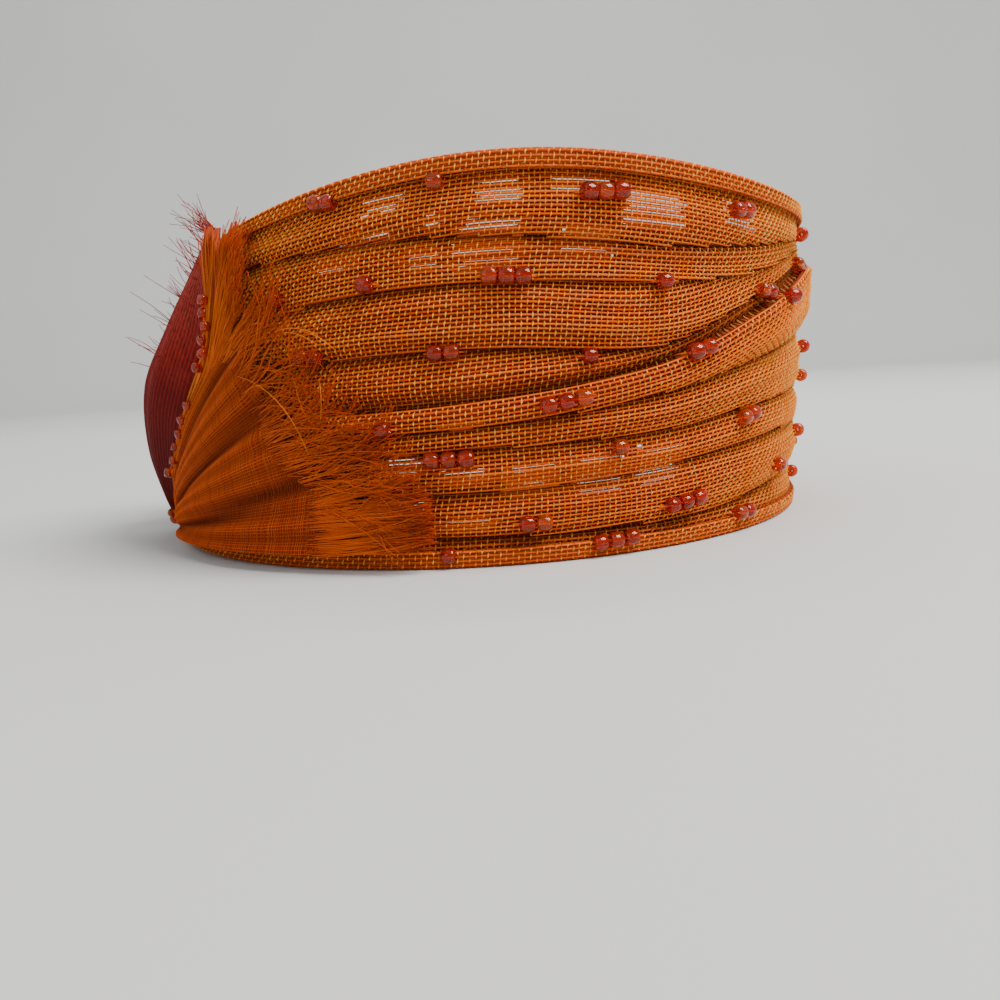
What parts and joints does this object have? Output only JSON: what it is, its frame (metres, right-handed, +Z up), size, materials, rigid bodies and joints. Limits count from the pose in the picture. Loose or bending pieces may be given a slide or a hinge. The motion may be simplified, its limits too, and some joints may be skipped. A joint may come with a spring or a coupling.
{
  "type": "millinery bandeau",
  "caption": "Wide open millinery bandeau of two overlapping orange drapes with bound edges, a frayed silk fan and crimson petals at one side.",
  "frame": {"origin": "middle of the bounding box in plan, on the surface that the lower edge stands on", "axes": "+Z up the band as worn, -Y the way its front faces, +X towards the wearer's left"},
  "size_m": [0.1694, 0.1246, 0.0773],
  "materials": {
    "orange_weave": "matte open weave",
    "orange_hem": "matte folded weave",
    "frayed_silk": "soft silk sheen",
    "crimson_rib": "ribbed silk",
    "gold_yarn": "satin yarn",
    "seed_bead": "lustred glass"
  },
  "bodies": {
    "root": {"upper_drape": "orange_weave", "lower_drape": "orange_weave", "upper_binding": "orange_hem", "lower_binding": "orange_hem", "frayed_fan": "frayed_silk", "crimson_petal": "crimson_rib", "folded_bud": "crimson_rib"}
  },
  "joints": []
}
